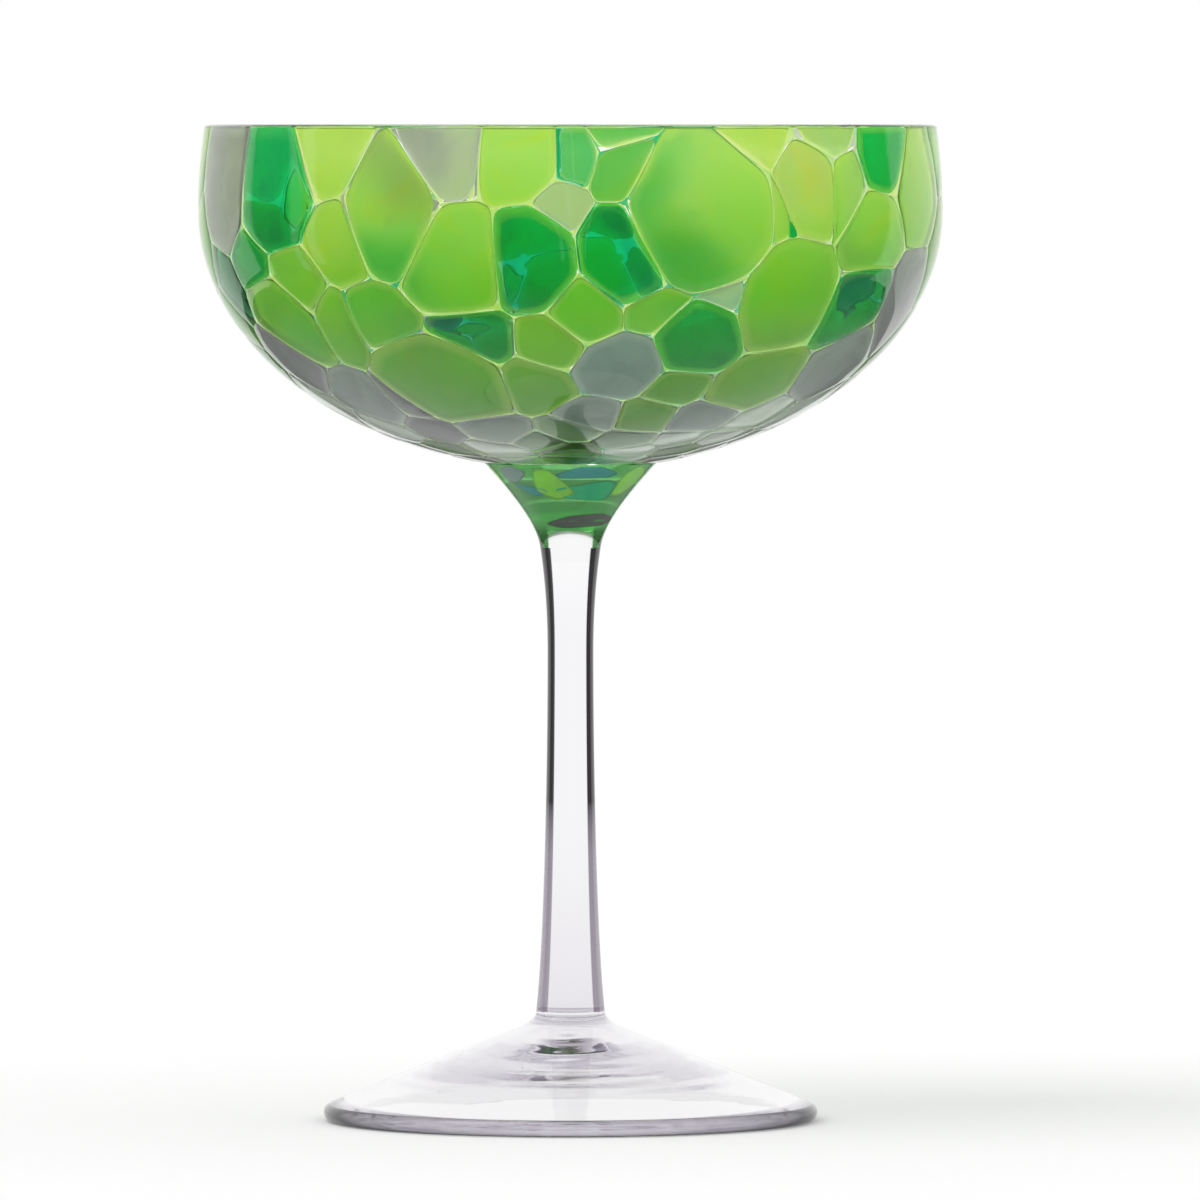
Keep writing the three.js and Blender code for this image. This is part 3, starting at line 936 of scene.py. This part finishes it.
# Patches of coloured glass inside the neck: glass, azimuth in degrees, height, half sizes, and slant. Their
# rings are shares of the outline and depths under the neck's face.
NECK_PATCHES = [
    ("G", -50, 97.6, 2.9, 1.2, 0.2),
    ("T", -38, 95.2, 2.9, 0.7, -0.7),
    ("L", -17, 96.1, 3.4, 2.1, -0.3),
    ("T", 13, 97.8, 4.6, 0.95, 0.1),
    ("E", 15, 95.0, 4.9, 1.9, 0.1),
    # V is a dark purple-grey band low in the neck, just over the stem's dome
    ("V", 24, 90.5, 5.8, 0.95, 0.4),
    ("L", 57, 96.7, 3.6, 2.0, 0.5),
    ("L", -88, 96.6, 3.6, 1.9, 0.3),
    ("E", 96, 95.8, 3.4, 1.8, -0.2),
    ("L", 136, 96.3, 4.0, 2.1, 0.2),
    ("T", 176, 96.8, 3.8, 1.5, -0.2),
    ("L", 216, 95.9, 3.6, 2.1, 0.3),
    ("E", 250, 97.3, 3.0, 1.4, 0.1),
]
PATCH_ROUNDING = (0.15, 0.25, 0.25)
PATCH_CORNER = 1.15  # reach of the corners before they are rounded off
PATCH_RINGS = ((0, 0.12), (0.85, 0.12), (0.96, 0.15), (1, 0.25), (0.96, 0.35), (0.85, 0.38), (0, 0.38))


def patch_outline(number):
    """A rounded, uneven polygon about one unit in half width, another one for each number."""
    corners = 5 + number % 2
    turns = [TURN * (i + 0.3 * math.sin(3 * i + 2 * number)) / corners for i in range(corners)]
    outline = [np.array((math.cos(turn), math.sin(turn))) * PATCH_CORNER for turn in turns]
    for share in PATCH_ROUNDING:
        outline = round_corners(outline, share)
    return np.array(outline)


def neck_patches():
    """Thin pads under the skin of the neck, one piece for each glass."""
    profile = neck_side()
    made = {}
    for number, (glass, azimuth, height, half_width, half_height, slant) in enumerate(NECK_PATCHES):
        outline = patch_outline(number)
        across = half_width * outline[:, 0]
        up = half_height * (outline[:, 1] + slant * outline[:, 0])
        rings = []
        for share, depth in PATCH_RINGS:
            level = height + up * share
            radius = np.interp(level, profile[:, 1], profile[:, 0]) - depth
            angle = math.radians(azimuth) + across * share / radius
            ring = np.stack([radius * np.sin(angle), -radius * np.cos(angle), level], axis=1)
            rings.append(ring if share else ring[:1])
        count = len(outline)
        add_pad(made, glass, np.concatenate(rings), *pad_sides(count), pad_edges(count))
    for glass, (vertices, faces, kinds, edges) in made.items():
        name = f"neck_{GLASS_NAMES[glass]}_patches"
        materials = [NECK_GLASS[glass], FUSED]
        make_piece(name, vertices, faces, materials, (), kinds, edges)


# Bubbles


def bubbles():
    """Small bubbles in the wall of the bowl, most of them tiny: hollows, so their faces look inwards."""
    shape = bmesh.new()
    smallest, largest = BUBBLE_RADII
    for number in range(BUBBLES):
        azimuth = number * math.pi * (3 - math.sqrt(5))
        depth = CHART_END * BUBBLE_REACH * ((number * BUBBLE_STEPS[0]) % 1)
        radius = smallest + (largest - smallest) * ((number * BUBBLE_STEPS[1]) % 1) ** 4
        (place,) = on_bowl(np.array([[azimuth, depth]]), np.array([-BUBBLE_DEPTH]))
        matrix = Matrix.Translation(Vector(place) * MM)
        bmesh.ops.create_icosphere(shape, subdivisions=2, radius=radius * MM, matrix=matrix)
    bmesh.ops.recalc_face_normals(shape, faces=shape.faces)
    bmesh.ops.reverse_faces(shape, faces=shape.faces)
    mesh = bpy.data.meshes.new("bubbles")
    shape.to_mesh(mesh)
    shape.free()
    mesh.materials.append(CLEAR)
    mesh.polygons.foreach_set("use_smooth", [True] * len(mesh.polygons))
    add_piece(mesh)


# Studio


OVERHEAD_LEVEL = (0.6, 0.57, 0.61)
FRONT_LEVEL = (0.2, 0.19, 0.2)
FLOOR_LEVEL = (0.22, 0.21, 0.22)
MATT_LEVEL = 0.86  # of the light that matt and cloudy faces gather


def wall_stops(level, stretches):
    """Ramp stops for a white wall all round, of another level along the stretches, in degrees from +Y."""
    stops = []
    for start, end in stretches:
        stops += [(start - 1, WHITE), (start + 1, level), (end - 1, level), (end + 1, WHITE)]
    return [(angle / 360 + 0.5, colour) for angle, colour in sorted(stops)]


def world():
    """White where the camera sees it. For the glass, a white studio that is dimmer overhead, in front for
    mirrored light, and a little all round for matt faces."""
    studio = bpy.data.worlds.new("studio")
    bpy.context.scene.world = studio
    studio.use_nodes = True
    nodes, links = studio.node_tree.nodes, studio.node_tree.links
    background = next(node for node in nodes if node.type == "BACKGROUND")
    place = nodes.new("ShaderNodeTexCoord")
    axes = nodes.new("ShaderNodeSeparateXYZ")
    links.new(place.outputs["Generated"], axes.inputs["Vector"])
    up = axes.outputs["Z"]
    path = nodes.new("ShaderNodeLightPath")
    overhead = ramp(nodes, links, up, [(0.4, WHITE), (0.85, OVERHEAD_LEVEL)])
    azimuth = calculate(nodes, links, "ARCTAN2", axes.outputs["X"], axes.outputs["Y"])
    turn = map_range(nodes, links, azimuth, -math.pi, math.pi)
    wall = ramp(nodes, links, turn, wall_stops(FRONT_LEVEL, DIM_FRONT))
    low = ramp(nodes, links, up, [(0.5, WHITE), (0.8, BLACK)])
    mirrored = calculate(nodes, links, "SUBTRACT", 1, path.outputs["Is Transmission Ray"])
    share = calculate(nodes, links, "MULTIPLY", low, mirrored)
    light = mix_colours(nodes, links, share, overhead, wall, "MULTIPLY")
    for ray, level in (("Diffuse Depth", MATT_LEVEL), ("Is Camera Ray", 1)):
        light = mix_colours(nodes, links, path.outputs[ray], light, (level, level, level))
    links.new(light, background.inputs["Color"])


def floor():
    """White paper that keeps the shadow. Glass shows it as plain white, and mirrors it dimmer further out."""
    material, nodes, links, shader = new_material("floor_paper")
    shader.inputs["Roughness"].default_value = 1
    shader.inputs["Specular IOR Level"].default_value = 0
    place = nodes.new("ShaderNodeTexCoord")
    distance = nodes.new("ShaderNodeVectorMath")
    distance.operation = "LENGTH"
    links.new(place.outputs["Object"], distance.inputs[0])
    near, far = FLOOR_FADE
    dim = ramp(nodes, links, distance.outputs["Value"], [(near * MM, WHITE), (far * MM, FLOOR_LEVEL)])
    path = nodes.new("ShaderNodeLightPath")
    paper = mix_colours(nodes, links, path.outputs["Is Glossy Ray"], WHITE, dim)
    links.new(paper, shader.inputs["Base Color"])
    shine = nodes.new("ShaderNodeEmission")
    mix = nodes.new("ShaderNodeMixShader")
    links.new(path.outputs["Is Transmission Ray"], mix.inputs["Fac"])
    links.new(shader.outputs["BSDF"], mix.inputs[1])
    links.new(shine.outputs["Emission"], mix.inputs[2])
    links.new(mix.outputs["Shader"], output_of(nodes).inputs["Surface"])
    mesh = bpy.data.meshes.new("floor")
    turns = [TURN * i / FLOOR_SIDES for i in range(FLOOR_SIDES)]
    ring = [(FLOOR_RADIUS * MM * math.cos(turn), FLOOR_RADIUS * MM * math.sin(turn), 0) for turn in turns]
    mesh.from_pydata(ring, [], [list(range(FLOOR_SIDES))])
    mesh.materials.append(material)
    plane = bpy.data.objects.new("floor", mesh)
    plane.location = (0, FLOOR_BEHIND * MM, -FLOOR_DROP * MM)
    bpy.context.collection.objects.link(plane)


def key_light():
    """A soft light from high on the left, the same all over the floor."""
    light = bpy.data.lights.new("key_light", "SUN")
    light.energy = KEY_STRENGTH
    light.angle = math.radians(KEY_SPREAD)
    key = bpy.data.objects.new("key_light", light)
    key.rotation_euler = Vector(KEY_DIRECTION).to_track_quat("-Z", "Y").to_euler()
    bpy.context.collection.objects.link(key)


def camera():
    """Level with the rim, aimed so that the glass fills the photograph's frame."""
    across, up = FRAME_MIDDLE
    target = Vector((across * MM, 0, up * MM))
    place = Vector((across * MM, -CAMERA_DISTANCE * MM, RIM_HEIGHT * MM))
    data = bpy.data.cameras.new("camera")
    data.sensor_width = CAMERA_SENSOR
    data.lens = CAMERA_SENSOR * (target - place).length / (FRAME_WIDTH * MM)
    data.clip_end = 20
    viewer = bpy.data.objects.new("camera", data)
    viewer.location = place
    viewer.rotation_euler = (target - place).to_track_quat("-Z", "Y").to_euler()
    bpy.context.collection.objects.link(viewer)
    bpy.context.scene.camera = viewer


def settings():
    """Plain colours, and enough bounces for light that is caught in glass."""
    scene = bpy.context.scene
    scene.view_settings.view_transform = "Standard"
    scene.cycles.max_bounces = BOUNCES
    scene.cycles.transmission_bounces = BOUNCES
    scene.cycles.glossy_bounces = BOUNCES


foot()
stem()
neck()
neck_core()
bowl_shell()
chips()
neck_patches()
bubbles()
world()
floor()
key_light()
camera()
settings()
